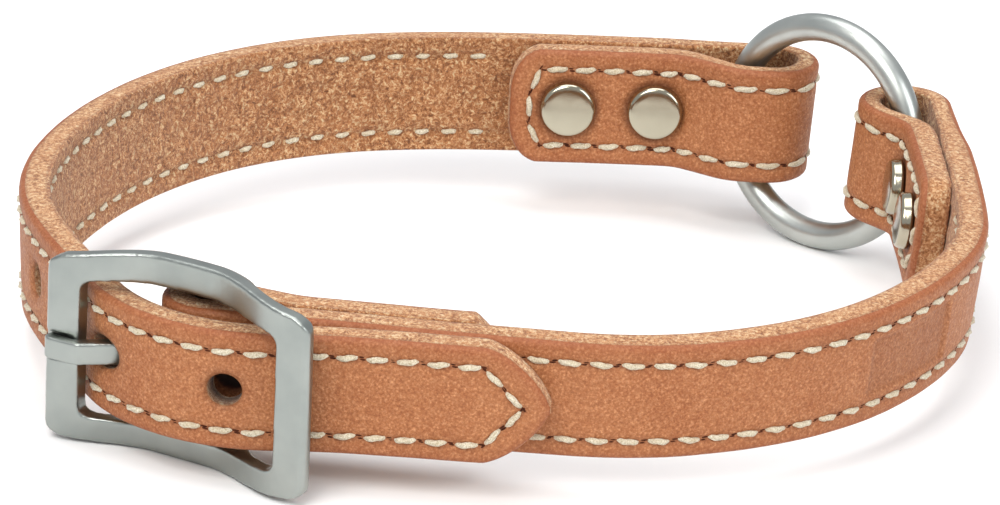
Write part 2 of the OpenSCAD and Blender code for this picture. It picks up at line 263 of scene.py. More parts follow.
def attribute(o, name, values):
    o.data.attributes.new(name, "FLOAT", "POINT").data.foreach_set("value", np.asarray(values, np.float32))


def piece(o, body, slot, *nodes):
    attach(o, body)
    if nodes:
        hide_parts(*nodes)
    return o


def rough(p, size, seed):
    """Smooth noise from -1 to 1 at row-frame points in metres; size is the feature size in mm."""
    k = 1000 / size
    return np.array([noise.noise((x * k + seed, y * k, z * k)) for x, y, z in p])


# ---- Materials --------------------------------------------------------------------------------
def srgb(r, g, b):
    """Linear colour from the usual 0 to 255 values."""
    shares = (c / 255 for c in (r, g, b))
    return tuple(c / 12.92 if c <= 0.04045 else ((c + 0.055) / 1.055) ** 2.4 for c in shares) + (1,)


def dye(r, g, b, depth=0.68):
    """A leather colour as it looks in the light, taken down to the colour of the surface itself."""
    return tuple(c * depth for c in srgb(r, g, b)[:3]) + (1,)


class Look:
    """A material with its principled shader and short names for the nodes it needs."""

    def __init__(self, name):
        self.m = bpy.data.materials.new(name)
        self.m.use_nodes = True
        self.t = self.m.node_tree
        self.b = self.t.nodes["Principled BSDF"]
        self.co = self.t.nodes.new("ShaderNodeTexCoord").outputs["Object"]

    def put(self, **values):
        for k, v in values.items():
            self.b.inputs[k.replace("_", " ")].default_value = v
        return self

    def node(self, kind, ins=None, **props):
        n = self.t.nodes.new(kind)
        for k, v in props.items():
            setattr(n, k, v)
        for k, v in (ins or {}).items():
            if hasattr(v, "is_output"):
                self.t.links.new(v, n.inputs[k])
            else:
                n.inputs[k].default_value = v
        return n

    def noise(self, size, detail=4.0, rough=0.55, co=None, distort=0.0):
        """Noise with features of about size mm."""
        ins = {"Vector": co or self.co, "Scale": 1000 / size, "Detail": detail, "Roughness": rough,
               "Distortion": distort}
        return self.node("ShaderNodeTexNoise", ins).outputs["Fac"]

    def cells(self, size):
        """Distance from the middle of cells of about size mm."""
        n = self.node("ShaderNodeTexVoronoi", {"Vector": self.co, "Scale": 1000 / size})
        return n.outputs["Distance"]

    def ramp(self, fac, *stops):
        n = self.node("ShaderNodeValToRGB", {"Fac": fac})
        while len(n.color_ramp.elements) < len(stops):
            n.color_ramp.elements.new(0.5)
        for e, (at, colour) in zip(n.color_ramp.elements, stops):
            e.position, e.color = at, colour if len(colour) == 4 else (*colour, 1)
        return n.outputs["Color"]

    def mix(self, fac, a, b, how="MIX"):
        n = self.node("ShaderNodeMix", {}, data_type="RGBA", blend_type=how)
        for i, v in ((0, fac), (6, a), (7, b)):
            if hasattr(v, "is_output"):
                self.t.links.new(v, n.inputs[i])
            else:
                n.inputs[i].default_value = v
        return n.outputs[2]

    def math(self, op, a, b, clamp=False):
        n = self.node("ShaderNodeMath", {}, operation=op, use_clamp=clamp)
        for i, v in enumerate((a, b)):
            if hasattr(v, "is_output"):
                self.t.links.new(v, n.inputs[i])
            else:
                n.inputs[i].default_value = v
        return n.outputs[0]

    def to_range(self, v, a, b, c, d):
        """Take v from the range a to b over to the range c to d."""
        ins = {"Value": v, "From Min": a, "From Max": b, "To Min": c, "To Max": d}
        return self.node("ShaderNodeMapRange", ins).outputs[0]

    def attr(self, name):
        return self.node("ShaderNodeAttribute", {}, attribute_name=name).outputs["Fac"]

    def bump(self, *layers):
        """Layers of (height, strength, distance in mm)."""
        last = None
        for h, strength, distance in layers:
            ins = {"Height": h, "Strength": strength, "Distance": distance / 1000}
            if last is not None:
                ins["Normal"] = last
            last = self.node("ShaderNodeBump", ins).outputs[0]
        self.t.links.new(last, self.b.inputs["Normal"])
        return self

    def set(self, socket, out):
        self.t.links.new(out, self.b.inputs[socket])
        return self


def grain_look():
    k = Look("leather_grain")
    fine, mid, wide = k.noise(0.44, 4, 0.72), k.noise(1.2, 4, 0.62), k.noise(17, 4, 0.6, distort=0.6)
    pebble, pores = k.cells(0.45), k.cells(0.95)
    base = k.ramp(fine, (0.35, dye(150, 84, 44)), (0.50, dye(200, 128, 78)), (0.65, dye(250, 182, 130)))
    wash = k.ramp(wide, (0.32, dye(184, 106, 58)), (0.68, dye(220, 148, 96)))
    tone = k.mix(0.32, base, wash)
    tone = k.mix(k.to_range(mid, 0.42, 0.64, 0.0, 0.24), tone, dye(172, 96, 54))
    tone = k.mix(k.to_range(pebble, 0.3, 0.6, 0.0, 0.30), tone, dye(140, 76, 40))
    tone = k.mix(k.to_range(pores, 0.0, 0.16, 0.45, 0.0), tone, dye(120, 64, 34))
    tone = k.mix(k.math("MULTIPLY", k.attr("rim"), 0.55), tone, dye(158, 80, 46))
    # Painted shade: round the rivets, along the stitch grooves and round the holes; the pressed panel is
    # darkened a little too.
    tone = k.mix(k.math("MULTIPLY", k.attr("painted_shade_and_wear"), 0.62, clamp=True), tone, dye(104, 52, 28))
    # Painted near-black shade where the other strap's hole looks down onto this grain.
    tone = k.mix(k.to_range(k.attr("painted_shade_and_wear"), 1.0, 2.0, 0.0, 0.9), tone, dye(34, 18, 10))
    k.set("Base Color", tone).put(Specular_IOR_Level=0.32)
    k.set("Roughness", k.to_range(mid, 0.3, 0.7, 0.48, 0.68))
    return k.bump((wide, 0.3, 0.6), (mid, 0.5, 0.14), (pebble, 0.8, 0.08), (fine, 0.8, 0.10)).m


def flesh_look():
    def hide(r, g, b):
        return dye(r, g, b, 0.72)

    k = Look("leather_flesh")
    wob = k.node("ShaderNodeTexNoise", {"Vector": k.co, "Scale": 900.0, "Detail": 3.0}).outputs["Color"]
    warp = k.mix(0.0016, k.co, wob, "ADD")
    hair, nap = k.noise(0.6, 4, 0.78, co=warp), k.noise(1.0, 4, 0.68, distort=1.8)
    clump, wide = k.noise(2.6, 4, 0.65, co=warp, distort=1.2), k.noise(14, 3, 0.5)
    fleck = k.math("ADD", k.math("MULTIPLY", hair, 0.6), k.math("MULTIPLY", nap, 0.4))
    tone = k.ramp(fleck, (0.40, hide(110, 62, 30)), (0.48, hide(182, 118, 70)),
                  (0.53, hide(222, 158, 104)), (0.60, hide(255, 226, 176)))
    tone = k.mix(k.to_range(clump, 0.38, 0.56, 0.42, 0.0), tone, hide(146, 88, 46))
    tone = k.mix(k.to_range(wide, 0.35, 0.7, 0.0, 0.25), tone, hide(204, 132, 80))
    # Painted shade along the flesh-side stitch grooves and round the holes.
    tone = k.mix(k.math("MULTIPLY", k.attr("painted_shade_and_wear"), 0.35, clamp=True), tone, dye(96, 56, 30))
    k.set("Base Color", tone)
    k.put(Roughness=0.95, Specular_IOR_Level=0.12, Sheen_Weight=0.2, Sheen_Roughness=0.6)
    return k.bump((clump, 0.8, 0.5), (fleck, 1.0, 0.45)).m


def edge_look():
    def hide(r, g, b):
        return dye(r, g, b, 0.76)

    k = Look("leather_edge")
    hair, clump, wide = k.noise(0.5, 4, 0.76), k.noise(1.1, 4, 0.68, distort=1.0), k.noise(9, 3, 0.5)
    fleck = k.math("ADD", k.math("MULTIPLY", hair, 0.6), k.math("MULTIPLY", clump, 0.4))
    tone = k.ramp(fleck, (0.40, hide(140, 84, 44)), (0.485, hide(204, 142, 92)),
                  (0.53, hide(232, 178, 126)), (0.60, hide(255, 228, 184)))
    tone = k.mix(k.to_range(wide, 0.35, 0.65, 0.0, 0.3), tone, hide(206, 138, 86))
    tone = k.mix(k.math("MULTIPLY", k.attr("rim"), 0.5, clamp=True), tone, dye(140, 78, 44))
    # Painted shade down the walls of the punched holes.
    tone = k.mix(k.math("MULTIPLY", k.attr("painted_shade_and_wear"), 0.8, clamp=True), tone, dye(66, 38, 20))
    k.set("Base Color", tone)
    k.put(Roughness=0.88, Specular_IOR_Level=0.18, Sheen_Weight=0.15, Sheen_Roughness=0.6)
    return k.bump((clump, 1.0, 0.4), (hair, 1.0, 0.3)).m


def thread_look():
    k = Look("waxed_thread")
    fibre, wide = k.noise(0.22, 4, 0.6), k.noise(3.1, 3, 0.5)
    tone = k.ramp(fibre, (0.32, dye(170, 152, 120, 0.8)), (0.50, dye(216, 204, 178, 0.8)),
                  (0.68, dye(244, 236, 216, 0.8)))
    tone = k.mix(k.to_range(wide, 0.4, 0.72, 0.0, 0.4), tone, dye(196, 172, 134, 0.8))
    k.set("Base Color", tone)
    k.put(Roughness=0.72, Specular_IOR_Level=0.3, Sheen_Weight=0.2, Sheen_Roughness=0.5)
    return k.bump((fibre, 0.6, 0.08)).m


def needle_shade_look():
    # Near-black painted shade for the needle holes.
    k = Look("needle_hole_shade")
    tone = k.ramp(k.noise(0.4, 3), (0.3, srgb(44, 20, 12)), (0.7, srgb(84, 42, 26)))
    k.set("Base Color", tone).put(Roughness=0.9, Specular_IOR_Level=0.1)
    return k.bump((k.noise(0.3, 3), 0.5, 0.05)).m


def metal_look(name, dark, light, rough_low, rough_high, grit=0.02):
    k = Look(name)
    fine, wide = k.noise(0.16, 3, 0.6), k.noise(9, 3, 0.5)
    k.set("Base Color", k.ramp(wide, (0.3, srgb(*dark)), (0.7, srgb(*light))))
    # Rubbed patches, in the roughness only; the metal has no painted shade.
    painted_shade_and_wear = k.noise(2.4, 5, 0.65)
    k.set("Roughness", k.to_range(k.math("ADD", k.math("MULTIPLY", painted_shade_and_wear, 0.7), k.math("MULTIPLY", fine, 0.3)),
                                  0.35, 0.65, rough_low, rough_high))
    k.put(Metallic=1.0)
    return k.bump((fine, 0.35, grit), (wide, 0.1, 0.3)).m


GRAIN, FLESH, EDGE = grain_look(), flesh_look(), edge_look()
THREAD, NEEDLE_SHADE = thread_look(), needle_shade_look()
CAST = metal_look("satin_cast_nickel", (146, 151, 147), (162, 166, 161), 0.28, 0.38, 0.02)
WIRE = metal_look("satin_ring_nickel", (172, 176, 172), (190, 193, 188), 0.30, 0.42, 0.02)
POLISHED = metal_look("polished_nickel", (168, 161, 142), (180, 173, 153), 0.10, 0.18, 0.006)
BAR = metal_look("bar_steel", (104, 88, 76), (134, 116, 101), 0.28, 0.45, 0.02)

# ---- Leather ----------------------------------------------------------------------------------
EDGE_ROWS = [0, 0.1, 0.24, 0.45, 0.75, 1.15, 1.6]
ROUND_GRAIN, ROUND_FLESH = 0.95, 0.4
STAMP = (128.0, 148.8, 5.2)


def stations(length, step=0.6):
    ends = [0, 0.06, 0.16, 0.32, 0.55, 0.85, 1.2, 1.6, 2.05]
    n = int(round((length - 2 * 2.6) / step))
    return np.array(ends + list(np.linspace(2.6, length - 2.6, n + 1)) + [length - e for e in reversed(ends)])


def columns():
    inner = np.linspace(1.6, HALF, 15)[1:]
    half = [HALF - e for e in EDGE_ROWS] + [HALF - e for e in inner]
    return np.array([-h for h in half[:-1]] + [0.0] + [h for h in reversed(half[:-1])])


def outline_distance(s, v, loop):
    """Shortest distance from each point to the closed outline, in the flattened strap."""
    a, b = loop, np.roll(loop, -1, 0)
    best = np.full(s.shape, 50.0)
    for start in range(0, len(a), 40):
        aa, bb = a[start:start + 40], b[start:start + 40]
        near = (s > aa[:, 0].min() - 4) & (s < aa[:, 0].max() + 4)
        if not near.any():
            continue
        p = np.stack([s[near], v[near]], 1)[:, None, :]
        ab = (bb - aa)[None]
        t = np.clip(((p - aa[None]) * ab).sum(2) / np.maximum((ab ** 2).sum(2), 1e-9), 0, 1)
        d = np.linalg.norm(p - aa[None] - ab * t[..., None], axis=2).min(1)
        best[near] = np.minimum(best[near], d)
    return best


def tongue_crossing(w):
    """Length of the tip strap where the tongue's middle line crosses the offset w."""
    knee = BAR_MID + BAR_X * KNEE[0] + BAR_Y * KNEE[1]
    d = knee - np.array(PIN)
    best = None
    for s in np.arange(tip.s[17], tip.s[18] + 14, 0.05):
        x, y, h = tip.pose(s)
        p = np.array((x, y)) + tip.grain * np.array((-math.sin(h), math.cos(h))) * w - np.array(PIN)
        off = d[0] * p[1] - d[1] * p[0]
        if p @ d > 0 and (best is None or abs(off) < best[0]):
            best = (abs(off), s)
    return best[1]


LEFT_BAR, RIGHT_BAR = np.array((-66.35, -68.95)), np.array((-28.8, -90.2))
BAR_MID = (LEFT_BAR + RIGHT_BAR) / 2
bar_turn = math.atan2(*(RIGHT_BAR - LEFT_BAR)[::-1])
BAR_X = np.array((math.cos(bar_turn), math.sin(bar_turn)))
BAR_Y = np.array((-math.sin(bar_turn), math.cos(bar_turn)))
FRAME_L, FRAME_T, FRAME_BOW, BAR_W, NOTCH, TONGUE_T = 46.6, 2.8, 5.0, 5.6, 0.9, 2.3
KNEE = (-FRAME_L / 2 + BAR_W + 0.4, -FRAME_T / 2 + NOTCH - TONGUE_T / 2 - 0.06)


def leather(name, strap, half, grain_st, flesh_st, holes, stamp=None, shade=None):
    """One strap: grain and flesh sheets over the outline, a cut edge round it, and punched holes.

    stamp is a pressed plain panel, as (start, end, half height), and shade is where on the strap a hole of
    the other strap lies over it; the grain there is painted near-black as the shade seen through that hole.
    """
    S, C = stations(strap.end), columns()
    n, m = len(S), len(C)
    hw = half(S)
    s_grid = np.repeat(S[:, None], m, 1)
    v_grid = C[None, :] / HALF * hw[:, None]
    ring = [(i, 0) for i in range(n)] + [(n - 1, j) for j in range(1, m)]
    ring += [(i, m - 1) for i in range(n - 2, -1, -1)] + [(0, j) for j in range(m - 2, 0, -1)]
    loop = np.array([(s_grid[i, j], v_grid[i, j]) for i, j in ring])
    verts, faces, which, rim, painted_shade_and_wear = [], [], [], [], []
    sheets = {}
    for face in (1, -1):
        s, v = s_grid.copy(), v_grid.copy()
        keep = np.ones((n - 1, m - 1), bool)
        rims = []
        for hole in holes:
            cs, a, b = hole["grain"] if face == 1 else hole["flesh"], hole["a"], hole["b"]
            i0 = int(np.abs(S - cs).argmin())
            cs_grid = S[i0]
            cm, cn = (S[:-1] + S[1:]) / 2, (C[:-1] + C[1:]) / 2
            gone = ((cm[:, None] - cs_grid) / a) ** 2 + (cn[None, :] / b) ** 2 < 1
            keep &= ~gone
            edge_v = set()
            for i, j in zip(*np.nonzero(gone)):
                for di, dj in ((0, 0), (1, 0), (0, 1), (1, 1)):
                    edge_v.add((i + di, j + dj))
            border = [(i, j) for i, j in edge_v
                      if not (gone[max(i - 1, 0):i + 1, max(j - 1, 0):j + 1].all())]
            border.sort(key=lambda q: math.atan2(v_grid[q], S[q[0]] - cs_grid))
            for q in border:
                t = math.atan2(v_grid[q] / b, (S[q[0]] - cs_grid) / a)
                s[q], v[q] = cs + a * math.cos(t), b * math.sin(t)
            rims.append((border, cs, a, b))
        d = outline_distance(s.ravel(), v.ravel(), loop).reshape(s.shape)
        t = thick(s)
        r = ROUND_GRAIN if face == 1 else ROUND_FLESH
        inset = r - np.sqrt(np.maximum(r * r - (r - np.minimum(d, r)) ** 2, 0))
        depth = inset.copy()
        st = grain_st if face == 1 else flesh_st
        near = seg_distance(s.ravel(), v.ravel(), st, 0.7).reshape(s.shape)
        depth += (0.30 if face == 1 else 0.5) * np.exp(-(near / 0.62) ** 2)
        for _, cs, a, b in rims:
            away = np.maximum(np.sqrt(((s - cs) / a) ** 2 + (v / b) ** 2) - 1, 0) * b
            depth += 0.55 * np.exp(-away / 0.5) + 0.14 * np.exp(-away / 1.6)
        # dark gathers painted shade: round the rivets, along the stitch grooves, round the holes and below
        # the other strap's hole; the pressed panel is darkened a little too.
        dark = np.zeros_like(s)
        # Each rivet presses a dent, and a painted shadow rings its cap.
        for centre in [c for rs in RIVETS for c in (rs, rs_outer(strap, rs))] if face == 1 else ():
            rr = np.hypot(s - centre, v)
            close = rr < 7
            p = strap.place(s[close], v[close], (t / 2)[close]) * 1000
            c0 = strap.place(centre, 0, STRAP_T / 2)[0] * 1000
            nn = strap.place(centre, 0, STRAP_T / 2 + 1)[0] * 1000 - c0
            h = (p - c0) @ nn
            lim = -0.30 + 0.34 * smooth(4.5, 6.6, rr[close])
            press = np.maximum(h - lim, 0) * (1 - smooth(5.2, 7, rr[close]))
            depth[close] = np.maximum(depth[close], press)
            dark[close] = np.maximum(dark[close], 1 - smooth(4.5, 5.7, rr[close]))
        # Painted shade below the other strap's hole: values up to 2 take the grain near-black.
        if shade and face == 1:
            dark = np.maximum(dark, 2 - 2 * smooth(2.4, 3.4, np.hypot(s - shade, v)))
        if stamp and face == 1:
            s0, s1, hv = stamp
            inside = smooth(s0, s0 + 0.6, s) * (1 - smooth(s1 - 0.6, s1, s))
            inside = inside * (1 - smooth(hv - 0.6, hv, np.abs(v)))
            depth += 0.5 * inside
            dark = np.maximum(dark, 0.3 * inside)
        w = face * (t / 2 - depth)
        base = strap.place(s.ravel(), v.ravel(), w.ravel())
        if face == 1:
            w += face * 0.05 * rough(base, 6, 3.1).reshape(s.shape)
        else:
            nap = 0.17 * rough(base, 1.5, 8.7) + 0.08 * rough(base, 4, 5.2)
            w += face * nap.reshape(s.shape) * (d > 0.2)
        base = strap.place(s.ravel(), v.ravel(), w.ravel())
        start = len(verts)
        verts += list(base)
        rim += list(np.exp(-d.ravel() / (1.1 if face == 1 else 0.4)))
        # Painted shade along the stitch grooves, under and between the stitches.
        dark = np.maximum(dark, 0.75 * np.exp(-(near / 0.42) ** 2) * (1 if face == 1 else 0.7))
        # Painted shade round the rims of the punched holes.
        for _, cs, a, b in rims:
            away = np.maximum(np.sqrt(((s - cs) / a) ** 2 + (v / b) ** 2) - 1, 0) * b
            dark = np.maximum(dark, 0.5 * np.exp(-away / 0.7))
        painted_shade_and_wear += list(dark.ravel())
        for i in range(n - 1):
            for j in range(m - 1):
                if keep[i, j]:
                    a, b = start + i * m + j, start + (i + 1) * m + j
                    q = [a, b, b + 1, a + 1]
                    faces.append(q if face == -strap.grain else q[::-1])
                    which.append(0 if face == 1 else 1)
        sheets[face] = (start, s, v, w, rims)
    # cut edge round the outline
    nxt, prv = np.roll(loop, -1, 0), np.roll(loop, 1, 0)
    tang = nxt - prv
    nrm = np.stack([tang[:, 1], -tang[:, 0]], 1)
    nrm /= np.maximum(np.linalg.norm(nrm, axis=1, keepdims=True), 1e-9)
    if (nrm[n // 2] @ np.array((0, -1.0))) < 0:
        nrm = -nrm
    g0, gs, gv, gw, _ = sheets[1]
    f0, fs, fv, fw, _ = sheets[-1]
    levels = 8
    chain = [[g0 + i * m + j for i, j in ring]]
    top = np.array([gw[i, j] for i, j in ring])
    bot = np.array([fw[i, j] for i, j in ring])
    for k in range(1, levels):
        f = k / levels
        w = top + (bot - top) * f
        bulge = 0.16 * (1 - (2 * f - 1) ** 2)
        p = strap.place(loop[:, 0], loop[:, 1], w)
        out = bulge + 0.09 * rough(p, 1.1, 11.3) + 0.05 * rough(p, 3.2, 2.2)
        p = strap.place(loop[:, 0] + nrm[:, 0] * out, loop[:, 1] + nrm[:, 1] * out, w)
        chain.append(list(range(len(verts), len(verts) + len(ring))))
        verts += list(p)
        rim += [max(math.exp(-f * 4.2 / 0.32), 0.6 * math.exp(-(1 - f) * 4.2 / 0.2))] * len(ring)
        painted_shade_and_wear += [0.0] * len(ring)
    chain.append([f0 + i * m + j for i, j in ring])
    count = len(ring)
    for a, b in zip(chain[:-1], chain[1:]):
        for k in range(count):
            q = [a[k], a[(k + 1) % count], b[(k + 1) % count], b[k]]
            faces.append(q if strap.grain == 1 else q[::-1])
            which.append(2)
    # walls of the punched holes, painted darker with depth as shade
    for (gb, *_), (fb, *_) in zip(sheets[1][4], sheets[-1][4]):
        if len(gb) != len(fb):
            raise RuntimeError("hole rims of %s differ: %d and %d" % (name, len(gb), len(fb)))
        steps = 5
        hchain = [[g0 + i * m + j for i, j in gb]]
        for k in range(1, steps):
            f = k / steps
            ps = np.array([gs[q] for q in gb]) * (1 - f) + np.array([fs[q] for q in fb]) * f
            pv = np.array([gv[q] for q in gb]) * (1 - f) + np.array([fv[q] for q in fb]) * f
            pw = np.array([gw[q] for q in gb]) * (1 - f) + np.array([fw[q] for q in fb]) * f
            p = strap.place(ps, pv, pw)
            hchain.append(list(range(len(verts), len(verts) + len(gb))))
            verts += list(p)
            rim += [0.2] * len(gb)
            # Painted shade, deeper down the wall.
            painted_shade_and_wear += [0.45 + 0.9 * f] * len(gb)
        hchain.append([f0 + i * m + j for i, j in fb])
        for a, b in zip(hchain[:-1], hchain[1:]):
            for k in range(len(gb)):
                q = [a[k], a[(k + 1) % len(gb)], b[(k + 1) % len(gb)], b[k]]
                faces.append(q[::-1] if strap.grain == 1 else q)
                which.append(2)
    used = np.zeros(len(verts), bool)
    for q in faces:
        used[q] = True
    new = np.cumsum(used) - 1
    faces = [[new[k] for k in q] for q in faces]
    keep_v = np.nonzero(used)[0]
    o = new_mesh(name, [verts[k] for k in keep_v], faces, [GRAIN, FLESH, EDGE], which)
    attribute(o, "rim", [rim[k] for k in keep_v])
    attribute(o, "painted_shade_and_wear", [painted_shade_and_wear[k] for k in keep_v])
    return o


def rs_outer(strap, rs):
    """Length on the outer ply opposite the rivet at rs on the tab."""
    c = strap.place(rs, 0, 0)[0]
    s = np.arange(strap.s[5], strap.s[9], 0.1)
    p = strap.place(s, 0, 0)
    n = strap.place(rs, 0, 1)[0] - c
    n /= np.linalg.norm(n)
    d = p - c
    off = np.linalg.norm(d - np.outer(d @ n, n), axis=1)
    return float(s[off.argmin()])


hole_front, _, hole_side = HOLES
SLOT_S = (buckle.s[16] + buckle.s[17]) / 2
TIP_HOLES = [{"grain": hole_front, "flesh": hole_front, "a": 2.6, "b": 2.6},
             {"grain": tongue_crossing(STRAP_T / 2), "flesh": tongue_crossing(-STRAP_T / 2),
              "a": 3.7, "b": 2.5},
             {"grain": hole_side, "flesh": hole_side, "a": 2.6, "b": 2.6}]
SLOT = {"grain": SLOT_S, "flesh": SLOT_S, "a": 8.5, "b": 2.35}
hole_middle = tip.place(hole_front, 0, 0)[0]
under_hole = float(buckle.at[np.linalg.norm(buckle.place(buckle.at, 0, 0) - hole_middle, axis=1).argmin()])
piece(leather("tip_strap_leather", tip, tip_half, tip_st, tip_fl, TIP_HOLES),
      "straps", "leather", "tip_strap")
piece(leather("buckle_strap_leather", buckle, buckle_half, buckle_st, buckle_fl, [SLOT], STAMP, under_hole),
      "straps", "leather", "buckle_strap")


# ---- Thread -----------------------------------------------------------------------------------
def stitch_meshes(name, strap, st, node, size=0.44, length=ST_LEN, sink=0.0, holes=True):
    """Twisted thread of radius size between its needle holes, and small dishes at the holes that it dives
    into, painted dark as shade.
    """
    around, along, lens = 12, 15, 10
    verts, faces, hv, hf = [], [], [], []
    th = np.arange(around) / around * 2 * math.pi
    for idx, (cs, cv, face, slope) in enumerate(st):
        wob = noise.noise((idx * 1.7, cs * 0.3, cv))
        a = math.radians(slope + (5 + 5 * wob) * (1 if face == 1 else -1))
        half = length / 2 * (1 + 0.06 * noise.noise((idx * 2.3, 4.4, cs)))
        hollow = max(0.0, face * strap.turn(cs)) * half ** 2 / 2
        top = float(thick(cs)) / 2 - (0.16 if face == 1 else 0.34) - sink + hollow
        start = len(verts)
        for k in range(along):
            u = 2 * k / (along - 1) - 1
            r = size * max(0.0, 1 - abs(u) ** 2.6) ** 0.5 * (1 - 0.18 * u * u) + 0.03
            lift = 0.17 - 0.62 * abs(u) ** 3.2
            tw = th * 3 + u * 5.2 + idx
            rr = r * (1 + 0.20 * np.cos(tw))
            y, z = rr * np.cos(th) * 0.98, rr * np.sin(th) * 0.9
            s = cs + half * 1.08 * u * math.cos(a) - y * math.sin(a)
            v = cv + half * 1.08 * u * math.sin(a) + y * math.cos(a)
            verts += list(strap.place(s, v, face * (top + lift + z)))
        flip = (face * strap.grain) > 0
        for k in range(along - 1):
            for j in range(around):
                q = [start + k * around + j, start + (k + 1) * around + j,
                     start + (k + 1) * around + (j + 1) % around, start + k * around + (j + 1) % around]
                faces.append(q if flip else q[::-1])
        first = list(range(start, start + around))
        last = list(range(start + (along - 1) * around, start + along * around))
        faces.append(first if flip else first[::-1])
        faces.append(last[::-1] if flip else last)
        # A small dark dish at each needle hole, painted shade.
        for end in (-1, 1) if holes else ():
            cs2 = cs + end * (length / 2 + 0.42) * math.cos(a)
            cv2 = cv + end * (length / 2 + 0.42) * math.sin(a)
            deep = float(thick(cs2)) / 2 - (0.27 if face == 1 else 0.45)
            hs = len(hv)
            for lv, scale in ((0.07, 0.0), (0.055, 0.6), (-0.05, 1.0)):
                count = 1 if scale == 0 else lens
                t = np.arange(count) / lens * 2 * math.pi
                x, y = 0.60 * scale * np.cos(t), 0.21 * scale * np.sin(t)
                b = a - 0.2
                hs2 = cs2 + x * math.cos(b) - y * math.sin(b)
                hv2 = cv2 + x * math.sin(b) + y * math.cos(b)
                hv += list(strap.place(hs2, hv2, face * (deep + lv + hollow)))
            inner, outer = hs + 1, hs + 1 + lens
            for j in range(lens):
                j2 = (j + 1) % lens
                tri = [hs, inner + j, inner + j2]
                quad = [inner + j, outer + j, outer + j2, inner + j2]
                hf.append(tri if not flip else tri[::-1])
                hf.append(quad if not flip else quad[::-1])
            bottom = [outer + j for j in range(lens)]
            hf.append(bottom[::-1] if not flip else bottom)
    piece(new_mesh(name, verts, faces, [THREAD]), "straps", "thread", node)
    if holes:
        piece(new_mesh(name + "_holes", hv, hf, [NEEDLE_SHADE]), "straps", "leather")


stitch_meshes("tip_thread_grain", tip, tip_st, "tip_stitches_grain")
stitch_meshes("buckle_thread_grain", buckle, buckle_st, "buckle_stitches_grain")
stitch_meshes("tip_thread_flesh", tip, tip_fl, "tip_stitches_flesh", 0.38, 2.7, 0.06, False)
stitch_meshes("buckle_thread_flesh", buckle, buckle_fl, "buckle_stitches_flesh", 0.38, 2.7, 0.06, False)


# ---- Turned pieces ----------------------------------------------------------------------------
def lathe(profile, count=64):
    """Vertices and faces of a profile of (radius, height) turned about Z; it starts and ends on the axis."""
    t = np.arange(count) / count * 2 * math.pi
    verts = [(0, 0, profile[0][1])]
    for r, z in profile[1:-1]:
        verts += [(r * math.cos(a), r * math.sin(a), z) for a in t]
    verts.append((0, 0, profile[-1][1]))
    faces = [[0, 1 + (j + 1) % count, 1 + j] for j in range(count)]
    for k in range(len(profile) - 3):
        a = 1 + k * count
        b = a + count
        faces += [[a + j, a + (j + 1) % count, b + (j + 1) % count, b + j] for j in range(count)]
    last, a = len(verts) - 1, 1 + (len(profile) - 3) * count
    faces += [[a + j, a + (j + 1) % count, last] for j in range(count)]
    return verts, faces


def arc(cx, cz, r, a0, a1, n):
    turns = [math.radians(a0 + (a1 - a0) * k / n) for k in range(n + 1)]
    return [(cx + r * math.cos(a), cz + r * math.sin(a)) for a in turns]


def rivet_set(name, strap, node, front):
    """Two caps on the tab (front) or two studs through the outer ply, each a shallow flat-topped dome."""
    verts, faces = [], []
    R = CAP_D / 2
    dome = [(0, -0.02), (R - 0.5, -0.02), (R - 0.12, 0.05)] + arc(R - 0.30, 0.42, 0.30, -50, 10, 4)
    dome += [(R - 0.14, 1.0)] + arc(R - 0.92, 1.26, 0.74, 5, 82, 9)
    dome += [(R - 1.6, 2.03), (R * 0.4, 2.08), (0, 2.10)]
    for s in RIVETS:
        w0 = STRAP_T / 2 - 0.02 if front else -STRAP_T / 2 - PLY + 0.02
        c = strap.place(s, 0, w0)[0]
        z = strap.place(s, 0, w0 + (1 if front else -1))[0] - c
        z /= np.linalg.norm(z)
        x = strap.place(s, 1, w0)[0] - c
        x -= z * (x @ z)
        x /= np.linalg.norm(x)
        y = np.cross(z, x)
        parts = [lathe(dome)]
        if not front:
            parts.append(lathe([(0, -POST_L), (POST_R, -POST_L), (POST_R, 0.2), (0, 0.2)], 32))
        for pv, pf in parts:
            start = len(verts)
            verts += [c + (x * p[0] + y * p[1] + z * p[2]) / 1000 for p in pv]
            faces += [[start + k for k in f] for f in pf]
    return piece(new_mesh(name, verts, faces, [POLISHED]), "straps", "rivet_nickel", node)


for side, strap in (("left", tip), ("right", buckle)):
    rivet_set(side + "_rivet_cap_domes", strap, side + "_rivet_caps", True)
    rivet_set(side + "_rivet_stud_domes", strap, side + "_rivet_studs", False)


# ---- Ring -------------------------------------------------------------------------------------
def ring_piece():
    joint = next(j for j in frame["record"]["behaviour"]["joints"] if j["name"] == "ring_spin")
    centre, axis = np.array(joint["pos_m"]), np.array(joint["axis"])
    axis /= np.linalg.norm(axis)
    x = np.cross(axis, (0, 0, 1.0))
    x /= np.linalg.norm(x)
    y = np.cross(axis, x)
    R, r, big, small = (RING_ID + RING_WIRE) / 2, RING_WIRE / 2, 192, 40
    verts, faces = [], []
    for i in range(big):
        a = 2 * math.pi * i / big
        out = x * math.cos(a) + y * math.sin(a)
        for j in range(small):
            b = 2 * math.pi * j / small
            k = r * (1 + 0.004 * noise.noise((math.cos(a) * 3, math.sin(a) * 3, b)))
            verts.append(centre + (out * (R + k * math.cos(b)) + axis * k * math.sin(b)) / 1000)
    for i in range(big):
        for j in range(small):
            i2, j2 = (i + 1) % big, (j + 1) % small
            faces.append([i * small + j, i * small + j2, i2 * small + j2, i2 * small + j])
    return piece(new_mesh("o_ring", verts, faces, [WIRE]), "ring", "ring_metal", "ring")


ring_piece()


